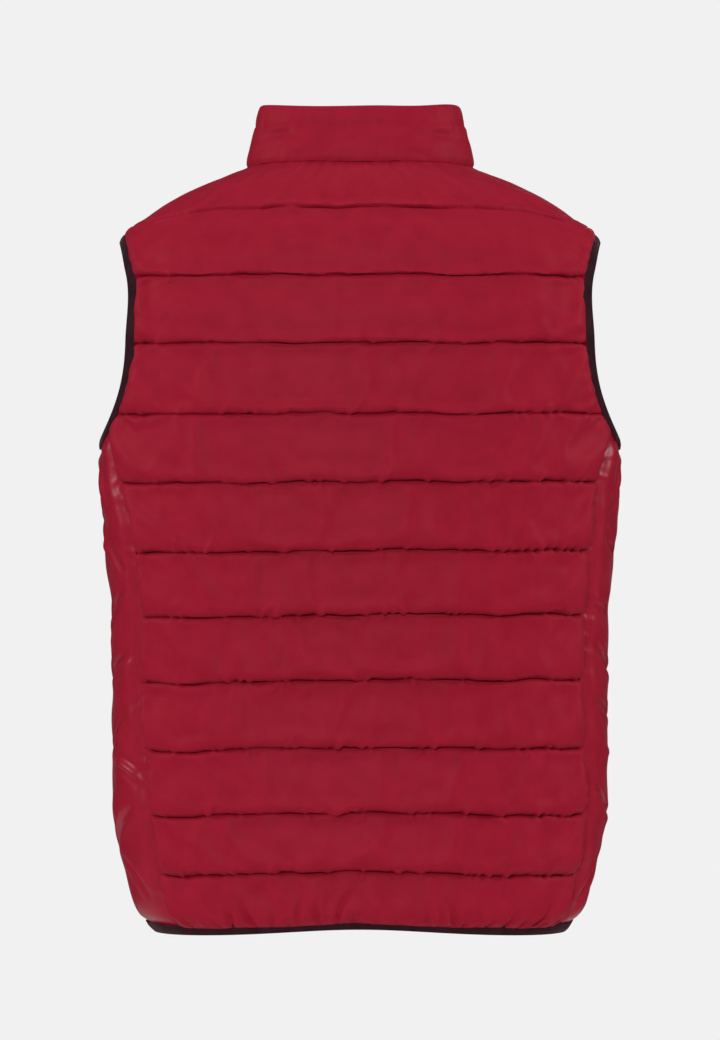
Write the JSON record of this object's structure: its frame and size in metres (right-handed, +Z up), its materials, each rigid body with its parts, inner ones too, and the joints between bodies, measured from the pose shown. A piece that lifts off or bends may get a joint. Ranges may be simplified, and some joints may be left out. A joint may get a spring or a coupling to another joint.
{
  "type": "puffer vest",
  "caption": "Lightly padded sleeveless vest, filled out as worn: quilted back and fronts, plain side panels, stand collar, elastic edging and a front zip.",
  "frame": {"origin": "middle of the neck opening at the level of the back collar seam", "axes": "+Z up along the wearer, the front faces -Y, the wearer's left is +X"},
  "size_m": [0.4716, 0.2745, 0.7445],
  "materials": {
    "shell": "deep red polyester taffeta over light wadding, soft low sheen",
    "side_cloth": "deep red polyester taffeta, unquilted, soft wrinkles",
    "binding": "dark elastic knit edging",
    "zip_tape": "dark woven tape",
    "zip_teeth": "dark nylon coil",
    "zip_metal": "dark grey enamelled zinc"
  },
  "bodies": {
    "vest": {"back": "shell", "front_left": "shell", "front_right": "shell", "side_panel_left": "side_cloth", "side_panel_right": "side_cloth", "collar": "shell", "binding_armhole_left": "binding", "binding_armhole_right": "binding", "binding_hem": "binding", "zip_tape_left": "zip_tape", "zip_tape_right": "zip_tape", "zip_chain": "zip_teeth", "zip_slider": "zip_metal", "zip_stop_bottom": "zip_metal", "zip_stop_left": "zip_metal", "zip_stop_right": "zip_metal"},
    "pull_tab": {"zip_pull": "zip_metal"}
  },
  "joints": [
    {"name": "pull_tab_hinge", "type": "hinge", "parent": "vest", "child": "pull_tab", "pos_m": [0, -0.08237, -0.03347], "axis": [-1, 0, 0], "range_deg": [0, 165]}
  ]
}
